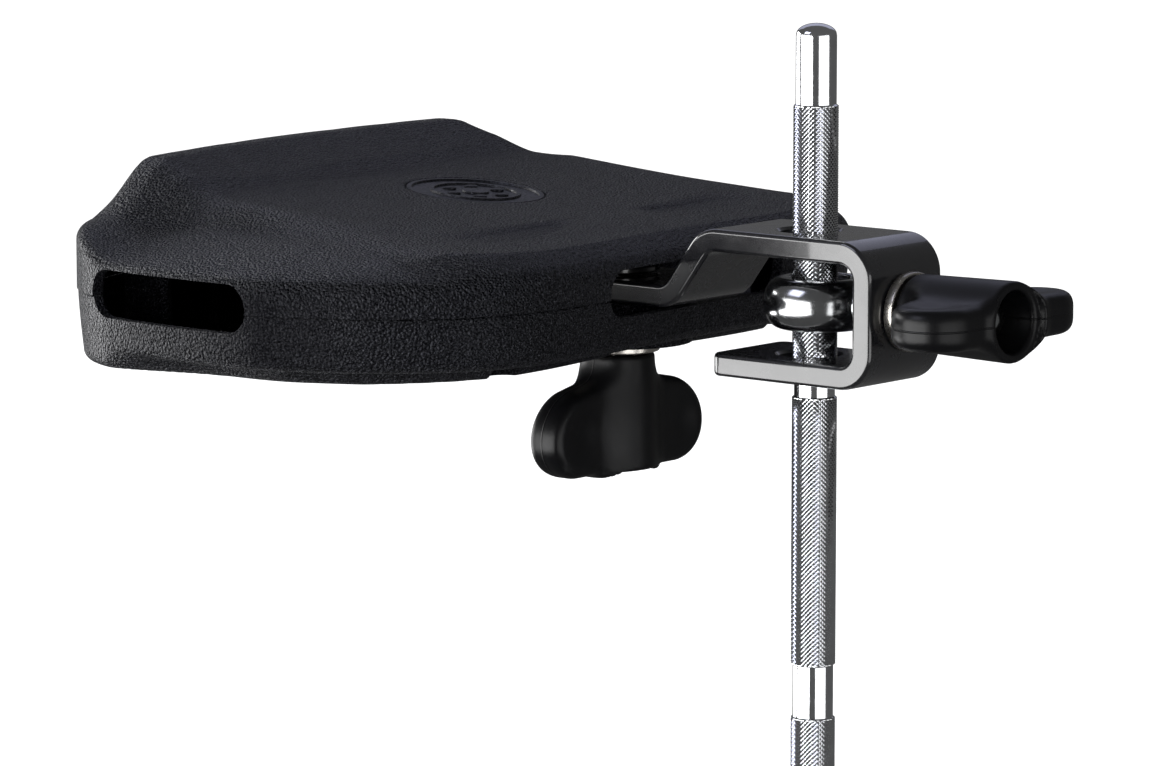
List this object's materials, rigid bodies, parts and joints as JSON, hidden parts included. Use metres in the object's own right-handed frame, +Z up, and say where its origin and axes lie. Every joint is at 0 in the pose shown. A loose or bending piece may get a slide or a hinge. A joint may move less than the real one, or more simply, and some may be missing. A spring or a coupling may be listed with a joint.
{
  "type": "percussion block",
  "caption": "Hollow plastic percussion block with a back ridge and side slots, on a bent steel clamp that an eye bolt and wing nut lock to a knurled rod.",
  "frame": {"origin": "centre of the rod's flat lower end face", "axes": "+Z up along the rod, +X from the rod towards the clamp's side wing nut, the block on the -X side"},
  "size_m": [0.2036, 0.1874, 0.254],
  "materials": {
    "rod_chrome": "bright chrome over diamond knurling",
    "bracket_paint": "smooth gloss black paint",
    "eye_chrome": "polished chrome",
    "zinc_steel": "zinc plated steel",
    "nut_plastic": "satin black moulded plastic",
    "shell_plastic": "matt black plastic with a pebbled grain"
  },
  "bodies": {
    "rod": {"rod": "rod_chrome"},
    "clamp": {"bracket": "bracket_paint", "pivot_bolt": "zinc_steel", "eye_washer": "zinc_steel"},
    "eye": {"eye_bolt": "eye_chrome"},
    "eye_nut": {"eye_wing_nut": "nut_plastic", "eye_nut_insert": "zinc_steel"},
    "pivot_seat": {"pivot_washer": "zinc_steel"},
    "pivot_nut": {"pivot_wing_nut": "nut_plastic", "pivot_nut_insert": "zinc_steel"},
    "block": {"upper_shell": "shell_plastic", "lower_shell": "shell_plastic", "shell_screw_1": "zinc_steel", "shell_screw_2": "zinc_steel", "shell_screw_3": "zinc_steel", "shell_screw_4": "zinc_steel", "shell_screw_5": "zinc_steel", "shell_screw_6": "zinc_steel"}
  },
  "joints": [
    {"name": "clamp_height", "type": "slide", "parent": "rod", "child": "clamp", "axis": [0, 0, 1], "range_m": [-0.11, 0.036]},
    {"name": "eye_nut_turn", "type": "hinge", "parent": "clamp", "child": "eye_nut", "pos_m": [0, 0, 0.1963], "axis": [1, 0, 0], "range_deg": [0, 810]},
    {"name": "eye_bolt_travel", "type": "slide", "parent": "clamp", "child": "eye", "axis": [-1, 0, 0], "range_m": [0, 0.0029]},
    {"name": "block_swivel", "type": "hinge", "parent": "clamp", "child": "block", "pos_m": [-0.053, 0, 0.1966], "axis": [0, 0, 1], "range_deg": [-19.5, 12.5]},
    {"name": "pivot_washer_drop", "type": "slide", "parent": "clamp", "child": "pivot_seat", "axis": [0, 0, -1], "range_m": [0, 0.0029]},
    {"name": "pivot_nut_turn", "type": "hinge", "parent": "pivot_seat", "child": "pivot_nut", "pos_m": [-0.053, 0, 0.17], "axis": [0, 0, -1], "range_deg": [0, 810]}
  ],
  "couplings": [
    {"joint": "eye_bolt_travel", "follows": "eye_nut_turn", "m_per_rad": 0.00019894},
    {"joint": "pivot_washer_drop", "follows": "pivot_nut_turn", "m_per_rad": 0.00019894}
  ]
}
